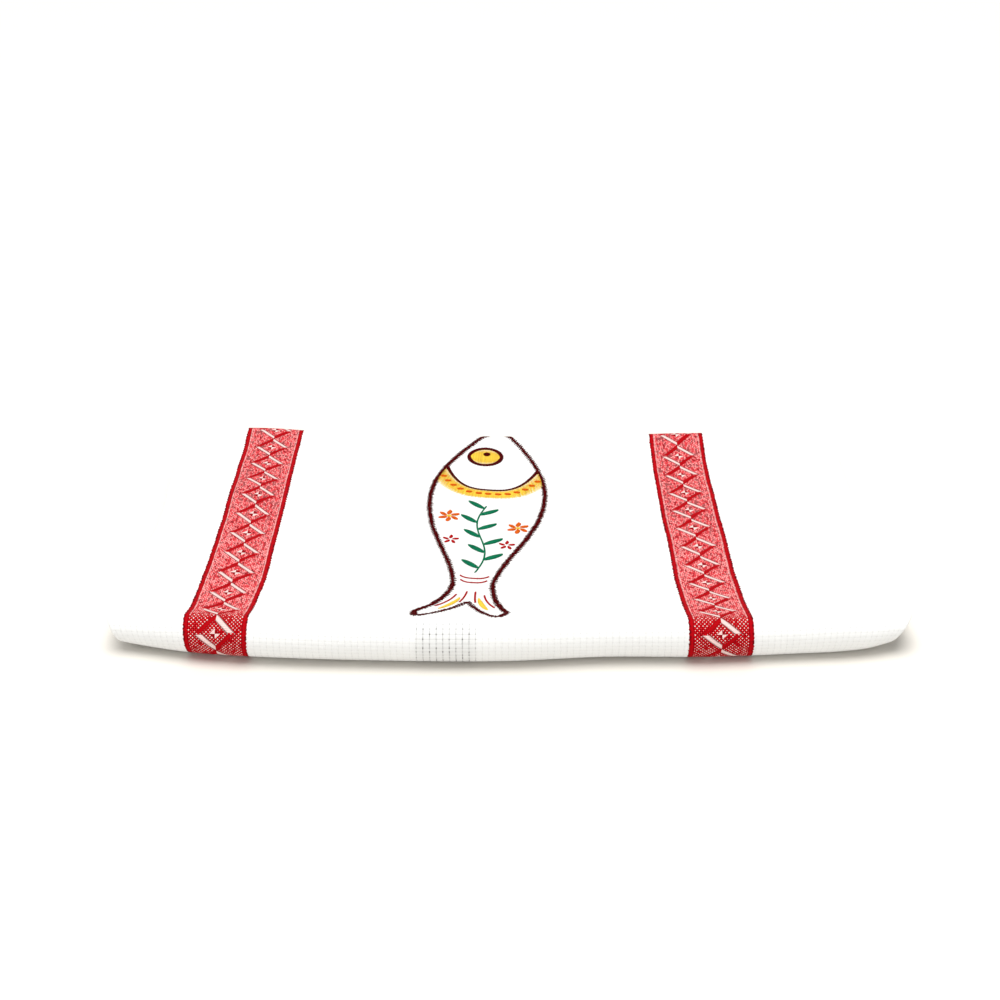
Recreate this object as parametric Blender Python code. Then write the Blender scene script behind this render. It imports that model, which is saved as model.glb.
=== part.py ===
"""Tea towel of white cotton canvas, folded in three like a letter and lying on a flat surface.

The towel is one sheet of cloth. X runs across it, -Y is its rounded front fold, +Z is up.
The cloth starts at the hem of the under flap, runs forward on the surface, turns over the
front fold, runs back as the top layer, turns under the back fold and runs forward again,
between the other two layers, as the inner flap. A place along the cloth is a number from
0 to 5: its whole part counts the legs below, its fraction is the share of that leg.
"""

import bpy
import numpy as np

MM = 0.001

CLOTH_WIDTH = 450 * MM
CLOTH_THICKNESS = 2.0 * MM
HEM_THICKNESS = 3.0 * MM
HEM_DEPTH = 14 * MM
HEM_STEP = 3.5 * MM
LAYER_GAP = 0.8 * MM

FOLDED_DEPTH = 269 * MM
BACK_FOLD_REACH = 8 * MM
UNDER_HEM_FROM_CREST = 24 * MM
INNER_HEM_FROM_RIDGE = 10 * MM
LIFT_RUN = 30 * MM
CLIMB_RUN = 20 * MM

HUMP_FROM_RIDGE = 150 * MM
HUMP_RUN = 26 * MM
CREST_RUN = 25 * MM
SLOPE_POWER = 1.2

# How the folds change across the towel, in millimetres, from its left side to its right.
# across: place along X. front: how far the front fold stands back from its foremost point.
# reach: from the ridge of the front fold to its foremost point. lift: underside of the front
# fold. ridge: top of the front fold. slope: how far the ridge runs down into the dish.
# dish: lowest height of the top layer. hump: rise in the dish. crest: top of the back fold.
# back: how far the back fold stands forward of its rearmost point.
STATION_COLUMNS = (
    "across", "front", "reach", "lift", "ridge", "slope", "dish", "hump", "crest", "back",
)
STATIONS = (
    (-225, 17.5, 10.8, 2.2, 20.0, 15, 15.4, 0.6, 17.0, 4.0),
    (-205, 14.0, 11.2, 0.8, 21.2, 15, 15.8, 1.2, 18.0, 2.0),
    (-183, 9.4, 12.2, 0.2, 22.8, 15, 16.0, 1.7, 18.8, 0.0),
    (-160, 5.8, 13.6, 0.0, 23.5, 15, 16.0, 1.7, 18.2, 0.0),
    (-130, 3.0, 14.0, 0.0, 24.0, 18, 15.4, 1.0, 16.6, 2.0),
    (-75, 0.6, 12.9, 0.0, 24.5, 22, 13.4, 0.2, 15.6, 6.0),
    (0, 0.0, 12.5, 0.0, 24.5, 27, 11.2, 0.0, 15.2, 8.0),
    (50, 3.4, 11.2, 0.8, 24.1, 32, 9.6, 0.0, 15.8, 8.0),
    (116, 4.6, 11.3, 0.0, 23.5, 38, 8.3, 0.0, 17.5, 6.5),
    (160, 7.6, 11.4, 0.0, 23.0, 34, 8.8, 0.0, 17.4, 6.0),
    (185, 9.2, 12.0, 0.0, 22.5, 30, 9.6, 0.0, 16.6, 7.0),
    (205, 11.6, 12.4, 0.4, 20.7, 26, 10.6, 0.0, 15.8, 8.5),
    (225, 16.0, 12.0, 1.8, 18.8, 22, 12.0, 0.0, 15.0, 10.5),
)

# How far each side edge stands in from the widest place, in millimetres, along the cloth.
SELVEDGE_COLUMNS = ("place", "left", "right")
SELVEDGES = (
    (0.0, 5, 7),
    (0.5, 9, 8),
    (1.0, 11, 17),
    (1.5, 5, 9.5),
    (1.75, 2, 4),
    (2.0, 0, 0),
    (2.5, 7, 1.5),
    (2.8, 3, 1.5),
    (3.5, 3, 2.5),
    (4.0, 5, 6),
    (4.5, 8, 4),
    (5.0, 11, 9),
)
SELVEDGE_POWER = 8

# The five legs of the cloth, how many steps each has in the mesh, and how strongly these
# crowd towards the ends of the leg.
UNDER, FRONT, TOP, BACK, INNER = range(5)
LEG_COUNT = 5
LEG_SAMPLES = (12, 12, 22, 8, 14)
LEG_CROWDING = (0.6, 0.0, 0.5, 0.0, 0.5)
STATION_SAMPLES = 33
END_CROWDING = 0.25
PLACE_STEP = 1e-4

COTTON_WHITE = (0.93, 0.93, 0.91, 1.0)
COTTON_ROUGHNESS = 0.9
SHARP_ANGLE = np.radians(50)


def columns(names, rows):
    """The rows of a table as one array for each named column."""
    return dict(zip(names, np.array(rows, float).T))


def smooth_curve(known_at, known, at):
    """A smooth line through the known values: cubic between them, with the mean slope of its
    neighbours at each."""
    slopes = np.gradient(known, known_at)
    index = np.clip(np.searchsorted(known_at, at) - 1, 0, len(known_at) - 2)
    span = known_at[index + 1] - known_at[index]
    t = (at - known_at[index]) / span
    return (
        known[index] * (1 + 2 * t) * (1 - t) ** 2
        + known[index + 1] * t * t * (3 - 2 * t)
        + slopes[index] * span * t * (1 - t) ** 2
        + slopes[index + 1] * span * t * t * (t - 1)
    )


def smooth_step(t):
    """0 below 0, 1 above 1, and an S between them."""
    t = np.clip(t, 0, 1)
    return t * t * (3 - 2 * t)


def station_sizes(across):
    """The named sizes of the fold at each place across, in metres, as columns of an array."""
    table = columns(STATION_COLUMNS, STATIONS)
    return {
        name: smooth_curve(table["across"] * MM, table[name] * MM, across)[:, None]
        for name in STATION_COLUMNS[1:]
    }


def shares_of_legs(place):
    """How much of each leg lies before each place, from 0 to 1."""
    return [np.clip(place - leg, 0, 1) for leg in range(LEG_COUNT)]


def landmarks(sizes):
    """Where each layer starts and ends along Y, before the towel is centred."""
    ridge_y = sizes["front"] + sizes["reach"]
    crest_y = FOLDED_DEPTH - sizes["back"] - BACK_FOLD_REACH
    return {
        "ridge": ridge_y,
        "crest": crest_y,
        "under_hem": crest_y - UNDER_HEM_FROM_CREST,
        "inner_hem": ridge_y + INNER_HEM_FROM_RIDGE,
    }


def thickness(marks, place):
    """The cloth, and over the last stretch at each hem its turned edge."""
    share = shares_of_legs(place)
    from_under_hem = (marks["under_hem"] - marks["ridge"]) * share[UNDER]
    from_inner_hem = (marks["crest"] - marks["inner_hem"]) * (1 - share[INNER])
    nearest = np.minimum(from_under_hem, from_inner_hem)
    turned = smooth_step((HEM_DEPTH - nearest) / HEM_STEP)
    return CLOTH_THICKNESS + (HEM_THICKNESS - CLOTH_THICKNESS) * turned


def top_height(sizes, marks, y):
    """Upper face of the top layer: the dish, plus the falling slope behind the ridge, the
    rising slope before the crest and a low hump between them."""
    from_ridge = np.maximum(y - marks["ridge"], 0)
    from_crest = np.maximum(marks["crest"] - y, 0)
    fall = np.exp(-((from_ridge / sizes["slope"]) ** SLOPE_POWER))
    rise = np.exp(-((from_crest / CREST_RUN) ** SLOPE_POWER))
    hump = np.exp(-(((from_ridge - HUMP_FROM_RIDGE) / HUMP_RUN) ** 2))
    return (
        sizes["dish"]
        + (sizes["ridge"] - sizes["dish"]) * fall
        + (sizes["crest"] - sizes["dish"]) * rise
        + sizes["hump"] * hump
    )


def lifted(sizes, marks, y):
    """How far the lower layers rise towards a front fold that stands off the surface."""
    return sizes["lift"] * smooth_step(1 - (y - marks["ridge"]) / LIFT_RUN)


def between(start, end, share):
    """The value at this share of the way."""
    return start + (end - start) * share


def half_turn(centre_y, centre_z, reach, rise, angle):
    """A point on an upright ellipse, the angle counted from its lowest point."""
    return centre_y + reach * np.sin(angle), centre_z - rise * np.cos(angle)


def middle_line(sizes, marks, place):
    """The (Y, Z) of the middle of the cloth at each place along it."""
    share = shares_of_legs(place)
    thick = thickness(marks, place)
    half = CLOTH_THICKNESS / 2

    under_y = between(marks["under_hem"], marks["ridge"], share[UNDER])
    under = (under_y, thick / 2 + lifted(sizes, marks, under_y))

    front = half_turn(
        marks["ridge"],
        (sizes["ridge"] + sizes["lift"]) / 2,
        half - sizes["reach"],
        (sizes["ridge"] - sizes["lift"]) / 2 - half,
        np.pi * share[FRONT],
    )

    top_y = between(marks["ridge"], marks["crest"], share[TOP])
    top = (top_y, top_height(sizes, marks, top_y) - half)

    back = half_turn(
        marks["crest"],
        top_height(sizes, marks, marks["crest"]) / 2,
        BACK_FOLD_REACH - half,
        top_height(sizes, marks, marks["crest"]) / 2 - half,
        np.pi * (1 - share[BACK]),
    )

    inner_y = between(marks["crest"], marks["inner_hem"], share[INNER])
    climb = smooth_step((marks["crest"] - inner_y) / CLIMB_RUN)
    past_hem = marks["under_hem"] - inner_y
    step_down = smooth_step((past_hem - HEM_DEPTH) / CLIMB_RUN)
    below = HEM_THICKNESS + (CLOTH_THICKNESS - HEM_THICKNESS) * step_down + LAYER_GAP
    inner = (inner_y, below * climb + thick / 2 + lifted(sizes, marks, inner_y))

    legs = (under, front, top, back, inner)
    chosen = [place < leg + 1 for leg in range(LEG_COUNT - 1)] + [place >= LEG_COUNT - 1]
    whole = np.broadcast_shapes(place.shape, marks["ridge"].shape)
    return tuple(
        np.select(
            [np.broadcast_to(one, whole) for one in chosen],
            [np.broadcast_to(leg[axis], whole) for leg in legs],
        )
        for axis in range(2)
    )


def outward(sizes, marks, place):
    """The unit (Y, Z) square to the cloth, towards its outer face."""
    behind = middle_line(sizes, marks, np.maximum(place - PLACE_STEP, 0))
    ahead = middle_line(sizes, marks, np.minimum(place + PLACE_STEP, LEG_COUNT))
    along_y, along_z = ahead[0] - behind[0], ahead[1] - behind[1]
    length = np.hypot(along_y, along_z)
    return -along_z / length, along_y / length


def across_at(share, place):
    """X at each place: the share of the half width, drawn in beside the wavering selvedges."""
    table = columns(SELVEDGE_COLUMNS, SELVEDGES)
    inset = {
        side: np.maximum(smooth_curve(table["place"], table[side] * MM, place), 0)
        for side in ("left", "right")
    }
    drawn_in = np.where(share < 0, inset["left"], inset["right"])
    return share * CLOTH_WIDTH / 2 - np.sign(share) * abs(share) ** SELVEDGE_POWER * drawn_in


def places_along():
    """Places along the cloth where its section has a corner. Those of a flat leg crowd
    towards its ends."""
    legs = []
    for leg, (count, crowding) in enumerate(zip(LEG_SAMPLES, LEG_CROWDING)):
        even = np.arange(count) / count
        legs.append(leg + even - crowding * np.sin(2 * np.pi * even) / (2 * np.pi))
    return np.append(np.concatenate(legs), LEG_COUNT)


def cloth_faces():
    """The outer and the inner face of the cloth as two grids of points, station by station."""
    even = np.linspace(-1, 1, STATION_SAMPLES)
    share = (even * (1 + END_CROWDING - END_CROWDING * even**2))[:, None]
    place = places_along()[None, :]
    sizes = station_sizes(share[:, 0] * CLOTH_WIDTH / 2)
    marks = landmarks(sizes)
    x = across_at(share, place)
    y, z = middle_line(sizes, marks, place)
    normal_y, normal_z = outward(sizes, marks, place)
    half = thickness(marks, place) / 2
    outer = np.stack([x, y + half * normal_y, z + half * normal_z], axis=-1)
    inner = np.stack([x, y - half * normal_y, z - half * normal_z], axis=-1)
    middle_y = (outer[..., 1].min() + outer[..., 1].max()) / 2
    for face in (outer, inner):
        face[..., 1] -= middle_y
        face[..., 2] = np.maximum(face[..., 2], 0)
    return outer, inner


def closed_sheet(outer, inner):
    """Points and four-sided faces of the solid between two grids, with its four rims."""
    rows, steps = outer.shape[:2]
    grid = np.arange(rows * steps).reshape(rows, steps)
    other = grid + rows * steps

    def quads(a, b, c, d):
        return np.stack([a.ravel(), b.ravel(), c.ravel(), d.ravel()], axis=1)

    faces = np.concatenate([
        quads(grid[:-1, :-1], grid[1:, :-1], grid[1:, 1:], grid[:-1, 1:]),
        quads(other[:-1, :-1], other[:-1, 1:], other[1:, 1:], other[1:, :-1]),
        quads(grid[0, :-1], grid[0, 1:], other[0, 1:], other[0, :-1]),
        quads(grid[-1, 1:], grid[-1, :-1], other[-1, :-1], other[-1, 1:]),
        quads(grid[1:, 0], grid[:-1, 0], other[:-1, 0], other[1:, 0]),
        quads(grid[:-1, -1], grid[1:, -1], other[1:, -1], other[:-1, -1]),
    ])
    points = np.concatenate([outer.reshape(-1, 3), inner.reshape(-1, 3)])
    return points, faces


def cotton():
    """Plain matt white cotton."""
    material = bpy.data.materials.new("white_cotton")
    material.use_nodes = True
    shader = material.node_tree.nodes["Principled BSDF"]
    shader.inputs["Base Color"].default_value = COTTON_WHITE
    shader.inputs["Roughness"].default_value = COTTON_ROUGHNESS
    shader.inputs["Metallic"].default_value = 0.0
    return material


def clear_scene():
    """Removes what the scene holds before the towel is made."""
    for thing in list(bpy.data.objects):
        bpy.data.objects.remove(thing)


def make_towel():
    """The folded cloth as one closed solid."""
    points, faces = closed_sheet(*cloth_faces())
    mesh = bpy.data.meshes.new("towel")
    mesh.from_pydata(points.tolist(), [], faces.tolist())
    mesh.validate()
    mesh.materials.append(cotton())
    mesh.shade_smooth()
    mesh.set_sharp_from_angle(angle=SHARP_ANGLE)
    towel = bpy.data.objects.new("towel", mesh)
    bpy.context.scene.collection.objects.link(towel)
    return towel


clear_scene()
make_towel()
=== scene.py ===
"""A tea towel of white cotton canvas, folded in three like a letter and lying on a flat surface.

Two red bands are woven into the cloth from hem to hem, and a fish is embroidered between them.
X runs across the cloth, -Y is the rounded front fold, +Z is up. A place along the cloth is a
number from 0 to 5: its whole part counts the legs of the fold below, its fraction is the share
of that leg. In materials and embroidery the cloth is measured as if it lay flat: across it from
its middle, and along it from the ridge of the front fold towards the back.
"""

import bpy
import numpy as np
from bpy.props import FloatProperty, FloatVectorProperty, IntProperty, PointerProperty
from mathutils import Euler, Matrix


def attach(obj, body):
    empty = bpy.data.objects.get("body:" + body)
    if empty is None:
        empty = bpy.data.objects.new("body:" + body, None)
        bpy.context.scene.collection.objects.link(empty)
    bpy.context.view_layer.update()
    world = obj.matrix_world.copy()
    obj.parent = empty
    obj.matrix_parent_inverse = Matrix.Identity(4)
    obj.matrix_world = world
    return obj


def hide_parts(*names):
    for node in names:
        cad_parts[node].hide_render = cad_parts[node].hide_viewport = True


bl_info = {
    "name": "Folded Tea Towel",
    "version": (1, 0, 0),
    "blender": (4, 5, 0),
    "location": "3D View > Sidebar > Tea Towel",
    "description": "Dresses a folded tea towel with its weave, woven bands and embroidery",
    "category": "Add Mesh",
}

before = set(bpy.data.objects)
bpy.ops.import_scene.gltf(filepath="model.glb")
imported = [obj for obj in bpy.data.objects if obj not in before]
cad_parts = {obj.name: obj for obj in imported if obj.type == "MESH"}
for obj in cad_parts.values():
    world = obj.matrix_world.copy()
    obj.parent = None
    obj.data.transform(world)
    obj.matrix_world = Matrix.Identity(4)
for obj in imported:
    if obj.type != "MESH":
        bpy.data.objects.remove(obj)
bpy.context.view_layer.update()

MM = 0.001

# The fold, as its solid has it.
CLOTH_WIDTH = 450 * MM
CLOTH_THICKNESS = 2.0 * MM
HEM_THICKNESS = 3.0 * MM
HEM_DEPTH = 14 * MM
HEM_STEP = 3.5 * MM
LAYER_GAP = 0.8 * MM
FOLDED_DEPTH = 269 * MM
BACK_FOLD_REACH = 8 * MM
UNDER_HEM_FROM_CREST = 24 * MM
INNER_HEM_FROM_RIDGE = 10 * MM
LIFT_RUN = 30 * MM
CLIMB_RUN = 20 * MM
HUMP_FROM_RIDGE = 150 * MM
HUMP_RUN = 26 * MM
CREST_RUN = 25 * MM
SLOPE_POWER = 1.2

# How the folds change across the towel, in millimetres, from its left side to its right.
# across: place along X. front: how far the front fold stands back from its foremost point.
# reach: from the ridge of the front fold to its foremost point. lift: underside of the front
# fold. ridge: top of the front fold. slope: how far the ridge runs down into the dish.
# dish: lowest height of the top layer. hump: rise in the dish. crest: top of the back fold.
# back: how far the back fold stands forward of its rearmost point.
STATION_COLUMNS = (
    "across", "front", "reach", "lift", "ridge", "slope", "dish", "hump", "crest", "back",
)
STATIONS = (
    (-225, 17.5, 10.8, 2.2, 20.0, 15, 15.4, 0.6, 17.0, 4.0),
    (-205, 14.0, 11.2, 0.8, 21.2, 15, 15.8, 1.2, 18.0, 2.0),
    (-183, 9.4, 12.2, 0.2, 22.8, 15, 16.0, 1.7, 18.8, 0.0),
    (-160, 5.8, 13.6, 0.0, 23.5, 15, 16.0, 1.7, 18.2, 0.0),
    (-130, 3.0, 14.0, 0.0, 24.0, 18, 15.4, 1.0, 16.6, 2.0),
    (-75, 0.6, 12.9, 0.0, 24.5, 22, 13.4, 0.2, 15.6, 6.0),
    (0, 0.0, 12.5, 0.0, 24.5, 27, 11.2, 0.0, 15.2, 8.0),
    (50, 3.4, 11.2, 0.8, 24.1, 32, 9.6, 0.0, 15.8, 8.0),
    (116, 4.6, 11.3, 0.0, 23.5, 38, 8.3, 0.0, 17.5, 6.5),
    (160, 7.6, 11.4, 0.0, 23.0, 34, 8.8, 0.0, 17.4, 6.0),
    (185, 9.2, 12.0, 0.0, 22.5, 30, 9.6, 0.0, 16.6, 7.0),
    (205, 11.6, 12.4, 0.4, 20.7, 26, 10.6, 0.0, 15.8, 8.5),
    (225, 16.0, 12.0, 1.8, 18.8, 22, 12.0, 0.0, 15.0, 10.5),
)

# How far each side edge stands in from the widest place, in millimetres, along the cloth.
SELVEDGE_COLUMNS = ("place", "left", "right")
SELVEDGES = (
    (0.0, 5, 7),
    (0.5, 9, 8),
    (1.0, 11, 17),
    (1.5, 5, 9.5),
    (1.75, 2, 4),
    (2.0, 0, 0),
    (2.5, 7, 1.5),
    (2.8, 3, 1.5),
    (3.5, 3, 2.5),
    (4.0, 5, 6),
    (4.5, 8, 4),
    (5.0, 11, 9),
)
SELVEDGE_POWER = 8

# The five legs of the cloth and the steps of its mesh: along each leg, across, and round a rim.
UNDER, FRONT, TOP, BACK, INNER = range(5)
LEG_COUNT = 5
LEG_STEPS = (50, 36, 98, 22, 50)
ROWS_ACROSS = 170
END_CROWDING = 0.25
RIM_TURNS = np.radians((25, 50, 75))
RIM_BULGE = 0.8 * MM
PLACE_STEP = 1e-4
ACROSS_STEP = 0.2 * MM

# Slow waves of the top layer: their height, and the run and the turn of each.
SLACK = 0.22 * MM
SLACK_WAVES = ((31 * MM, 5), (17 * MM, -11))

# Over the front fold the weave is eased: it lies wider below the ridge and closer further down.
RIDGE_EASE = 1.6 * MM
RIDGE_EASE_RUN = 23 * MM

OUTER_FACE = 1.0
INNER_FACE = -1.0

CLOTH_MAP = "cloth"
FACE_SIDE = "face_side"
STITCH_SHADE = "stitch_shade"

# The photograph's view. The camera's place is counted from the foremost point of the fold.
CAMERA_ACROSS = -6.4 * MM
CAMERA_BEFORE_FOLD = 674.8 * MM
CAMERA_HEIGHT = 480 * MM
CAMERA_PITCH = np.radians(28.96)
CAMERA_YAW = np.radians(0.08)
LENS = 54
SENSOR = 36


def columns(names, rows):
    """The rows of a table as one array for each named column."""
    return dict(zip(names, np.array(rows, float).T))


def smooth_curve(known_at, known, at):
    """A smooth line through the known values: cubic between them, with the mean slope of its
    neighbours at each."""
    slopes = np.gradient(known, known_at)
    index = np.clip(np.searchsorted(known_at, at) - 1, 0, len(known_at) - 2)
    span = known_at[index + 1] - known_at[index]
    t = (at - known_at[index]) / span
    return (
        known[index] * (1 + 2 * t) * (1 - t) ** 2
        + known[index + 1] * t * t * (3 - 2 * t)
        + slopes[index] * span * t * (1 - t) ** 2
        + slopes[index + 1] * span * t * t * (t - 1)
    )


def smooth_step(t):
    """0 below 0, 1 above 1, and an S between them."""
    t = np.clip(t, 0, 1)
    return t * t * (3 - 2 * t)


def station_sizes(across):
    """The named sizes of the fold at each place across, in metres."""
    table = columns(STATION_COLUMNS, STATIONS)
    return {
        name: smooth_curve(table["across"] * MM, table[name] * MM, across)
        for name in STATION_COLUMNS[1:]
    }


def shares_of_legs(place):
    """How much of each leg lies before each place, from 0 to 1."""
    return [np.clip(place - leg, 0, 1) for leg in range(LEG_COUNT)]


def landmarks(sizes):
    """Where each layer starts and ends along Y, counted from the foremost point of the fold."""
    ridge_y = sizes["front"] + sizes["reach"]
    crest_y = FOLDED_DEPTH - sizes["back"] - BACK_FOLD_REACH
    return {
        "ridge": ridge_y,
        "crest": crest_y,
        "under_hem": crest_y - UNDER_HEM_FROM_CREST,
        "inner_hem": ridge_y + INNER_HEM_FROM_RIDGE,
    }


def thickness(marks, place):
    """The cloth, and over the last stretch at each hem its turned edge."""
    share = shares_of_legs(place)
    from_under_hem = (marks["under_hem"] - marks["ridge"]) * share[UNDER]
    from_inner_hem = (marks["crest"] - marks["inner_hem"]) * (1 - share[INNER])
    nearest = np.minimum(from_under_hem, from_inner_hem)
    turned = smooth_step((HEM_DEPTH - nearest) / HEM_STEP)
    return CLOTH_THICKNESS + (HEM_THICKNESS - CLOTH_THICKNESS) * turned


def top_height(sizes, marks, y):
    """Upper face of the top layer: the dish, plus the falling slope behind the ridge, the
    rising slope before the crest and a low hump between them."""
    from_ridge = np.maximum(y - marks["ridge"], 0)
    from_crest = np.maximum(marks["crest"] - y, 0)
    fall = np.exp(-((from_ridge / sizes["slope"]) ** SLOPE_POWER))
    rise = np.exp(-((from_crest / CREST_RUN) ** SLOPE_POWER))
    hump = np.exp(-(((from_ridge - HUMP_FROM_RIDGE) / HUMP_RUN) ** 2))
    return (
        sizes["dish"]
        + (sizes["ridge"] - sizes["dish"]) * fall
        + (sizes["crest"] - sizes["dish"]) * rise
        + sizes["hump"] * hump
    )


def lifted(sizes, marks, y):
    """How far the lower layers rise towards a front fold that stands off the surface."""
    return sizes["lift"] * smooth_step(1 - (y - marks["ridge"]) / LIFT_RUN)


def between(start, end, share):
    """The value at this share of the way."""
    return start + (end - start) * share


def half_turn(centre_y, centre_z, reach, rise, angle):
    """A point on an upright ellipse, the angle counted from its lowest point."""
    return centre_y + reach * np.sin(angle), centre_z - rise * np.cos(angle)


def middle_line(sizes, marks, place):
    """The (Y, Z) of the middle of the cloth at each place along it."""
    share = shares_of_legs(place)
    thick = thickness(marks, place)
    half = CLOTH_THICKNESS / 2

    under_y = between(marks["under_hem"], marks["ridge"], share[UNDER])
    under = (under_y, thick / 2 + lifted(sizes, marks, under_y))

    front = half_turn(
        marks["ridge"],
        (sizes["ridge"] + sizes["lift"]) / 2,
        half - sizes["reach"],
        (sizes["ridge"] - sizes["lift"]) / 2 - half,
        np.pi * share[FRONT],
    )

    top_y = between(marks["ridge"], marks["crest"], share[TOP])
    top = (top_y, top_height(sizes, marks, top_y) - half)

    back = half_turn(
        marks["crest"],
        top_height(sizes, marks, marks["crest"]) / 2,
        BACK_FOLD_REACH - half,
        top_height(sizes, marks, marks["crest"]) / 2 - half,
        np.pi * (1 - share[BACK]),
    )

    inner_y = between(marks["crest"], marks["inner_hem"], share[INNER])
    climb = smooth_step((marks["crest"] - inner_y) / CLIMB_RUN)
    past_hem = marks["under_hem"] - inner_y
    step_down = smooth_step((past_hem - HEM_DEPTH) / CLIMB_RUN)
    below = HEM_THICKNESS + (CLOTH_THICKNESS - HEM_THICKNESS) * step_down + LAYER_GAP
    inner = (inner_y, below * climb + thick / 2 + lifted(sizes, marks, inner_y))

    legs = (under, front, top, back, inner)
    chosen = [place < leg + 1 for leg in range(LEG_COUNT - 1)] + [place >= LEG_COUNT - 1]
    whole = np.broadcast_shapes(np.shape(place), np.shape(marks["ridge"]))
    return tuple(
        np.select(
            [np.broadcast_to(one, whole) for one in chosen],
            [np.broadcast_to(leg[axis], whole) for leg in legs],
        )
        for axis in range(2)
    )


def outward(sizes, marks, place):
    """The unit (Y, Z) square to the cloth, towards its outer face."""
    behind = middle_line(sizes, marks, np.maximum(place - PLACE_STEP, 0))
    ahead = middle_line(sizes, marks, np.minimum(place + PLACE_STEP, LEG_COUNT))
    along_y, along_z = ahead[0] - behind[0], ahead[1] - behind[1]
    length = np.hypot(along_y, along_z)
    return -along_z / length, along_y / length


def across_at(share, place):
    """X at each place: the share of the half width, drawn in beside the wavering selvedges."""
    table = columns(SELVEDGE_COLUMNS, SELVEDGES)
    inset = {
        side: np.maximum(smooth_curve(table["place"], table[side] * MM, place), 0)
        for side in ("left", "right")
    }
    drawn_in = np.where(share < 0, inset["left"], inset["right"])
    half_width = CLOTH_WIDTH / 2 - RIM_BULGE
    return share * half_width - np.sign(share) * abs(share) ** SELVEDGE_POWER * drawn_in


def slack(across, place):
    """Slow unevenness of the top layer: waves that cross each other, gone at both folds."""
    share = shares_of_legs(place)[TOP]
    waves = sum(np.sin(across / run + turn * share) for run, turn in SLACK_WAVES)
    return SLACK * waves * np.sin(np.pi * share)


def cloth_surface(across, place, side=OUTER_FACE, edge_turn=0.0, hem_turn=0.0):
    """Points of one face of the cloth, before the towel is centred. The middle line of the fold
    gives Y and Z, and the face lies half a thickness to its side. A turn carries the point round
    the rim: the half thickness shrinks with its cosine and the point passes the edge with its
    sine."""
    sizes = station_sizes(across)
    marks = landmarks(sizes)
    y, z = middle_line(sizes, marks, place)
    normal_y, normal_z = outward(sizes, marks, place)
    half = thickness(marks, place) / 2 * np.cos(edge_turn) * np.cos(hem_turn)
    away = side * half + slack(across, place)
    past_hem = RIM_BULGE * np.sin(hem_turn)
    x = across_at(across / (CLOTH_WIDTH / 2), place) + RIM_BULGE * np.sin(edge_turn)
    y = y + away * normal_y + past_hem * normal_z
    z = z + away * normal_z - past_hem * normal_y
    return np.stack([x + 0 * y, y, np.maximum(z, 0)], axis=-1)


def foremost_and_rearmost():
    """The towel's ends along Y before it is centred, read on its two folds."""
    across = np.linspace(-1, 1, ROWS_ACROSS)[:, None] * CLOTH_WIDTH / 2
    turn = np.linspace(0, 1, LEG_STEPS[FRONT])[None, :]
    folds = cloth_surface(across, np.concatenate([FRONT + turn, BACK + turn], axis=1))
    return folds[..., 1].min(), folds[..., 1].max()


MIDDLE_Y = sum(foremost_and_rearmost()) / 2


def centred(points):
    """The points with the towel's middle at Y = 0."""
    return points - np.array([0, MIDDLE_Y, 0])


def place_of(across, along):
    """The place along the cloth that lies this far behind the ridge of the front fold, where
    each fold is taken for half of an ellipse."""
    sizes = station_sizes(across)
    marks = landmarks(sizes)
    top_run = marks["crest"] - marks["ridge"]
    front_rise = (sizes["ridge"] - sizes["lift"]) / 2
    front_run = np.pi * np.sqrt((sizes["reach"] ** 2 + front_rise**2) / 2)
    back_rise = top_height(sizes, marks, marks["crest"]) / 2
    back_run = np.pi * np.sqrt((BACK_FOLD_REACH**2 + back_rise**2) / 2)
    on_top = TOP + along / top_run
    on_front = TOP + along / front_run
    on_back = BACK + (along - top_run) / back_run
    return np.where(along < 0, on_front, np.where(along > top_run, on_back, on_top))


def in_scene(name, data):
    """A new object of the scene, at the origin."""
    thing = bpy.data.objects.new(name, data)
    bpy.context.scene.collection.objects.link(thing)
    return thing


def unit(vectors):
    """The vectors made one long."""
    return vectors / np.linalg.norm(vectors, axis=-1, keepdims=True)


def mesh_piece(name, points, faces, corner_map, point_values, material):
    """A smooth-shaded piece at the origin, with a flat map in metres and values on its points."""
    mesh = bpy.data.meshes.new(name)
    mesh.from_pydata(points.tolist(), [], faces.tolist())
    flat_map = mesh.uv_layers.new(name=CLOTH_MAP)
    corners = np.empty(len(mesh.loops), np.int32)
    mesh.loops.foreach_get("vertex_index", corners)
    flat_map.data.foreach_set("uv", corner_map[corners].astype(np.float32).ravel())
    for label, values in point_values.items():
        attribute = mesh.attributes.new(label, "FLOAT", "POINT")
        attribute.data.foreach_set("value", values.astype(np.float32).ravel())
    mesh.materials.append(material)
    mesh.shade_smooth()
    mesh.update()
    piece = in_scene(name, mesh)
    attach(piece, "root")
    return piece


def quads(a, b, c, d):
    """Four-sided faces from four equal arrays of point numbers."""
    return np.stack([a.ravel(), b.ravel(), c.ravel(), d.ravel()], axis=1)


def closed_sheet(outer, inner):
    """Points and faces of the solid between two grids, with strips along its four rims."""
    rows, steps = outer.shape[:2]
    grid = np.arange(rows * steps).reshape(rows, steps)
    other = grid + rows * steps
    faces = np.concatenate([
        quads(grid[:-1, :-1], grid[1:, :-1], grid[1:, 1:], grid[:-1, 1:]),
        quads(other[:-1, :-1], other[:-1, 1:], other[1:, 1:], other[1:, :-1]),
        quads(grid[0, :-1], grid[0, 1:], other[0, 1:], other[0, :-1]),
        quads(grid[-1, 1:], grid[-1, :-1], other[-1, :-1], other[-1, 1:]),
        quads(grid[1:, 0], grid[:-1, 0], other[:-1, 0], other[1:, 0]),
        quads(grid[:-1, -1], grid[1:, -1], other[1:, -1], other[:-1, -1]),
    ])
    points = np.concatenate([outer.reshape(-1, 3), inner.reshape(-1, 3)])
    return points, faces


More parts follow.
